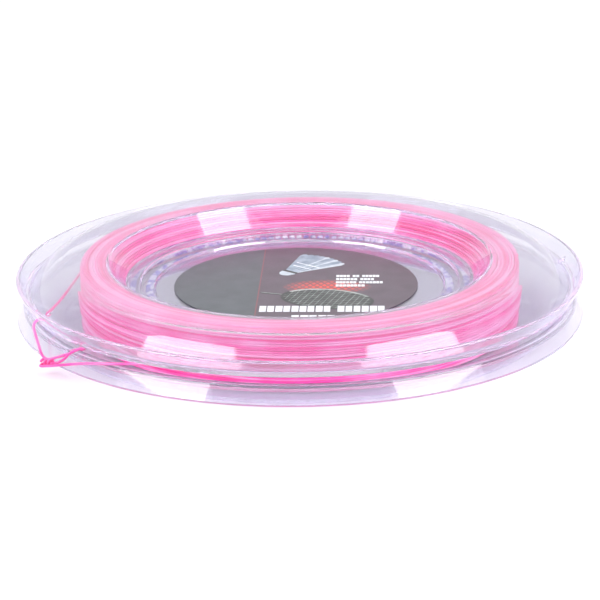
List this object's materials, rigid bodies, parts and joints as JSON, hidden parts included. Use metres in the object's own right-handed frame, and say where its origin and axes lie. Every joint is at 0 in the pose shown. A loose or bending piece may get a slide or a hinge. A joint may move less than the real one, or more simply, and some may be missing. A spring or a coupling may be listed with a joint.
{
  "type": "string reel",
  "caption": "Flat clear plastic reel of two moulded shells holding wound pink racket string, with a round hub label and the loose end tied through holes in the flared rim.",
  "frame": {"origin": "middle of the underside, on the surface that the reel lies on", "axes": "+Z along the winding axis, upwards with the printed label on top; +X to the right and +Y away from the viewer when the tied end is at the front left"},
  "size_m": [0.15, 0.15, 0.0178],
  "materials": {
    "clear_shell": "clear polished moulding with a faint lilac tint",
    "string": "glossy braided nylon, hot pink",
    "label": "printed film sticker, dark grey and maroon, satin"
  },
  "bodies": {
    "root": {"upper_shell": "clear_shell", "lower_shell": "clear_shell", "string_winding": "string", "string_tail": "string", "upper_label": "label", "lower_label": "label"}
  },
  "joints": []
}
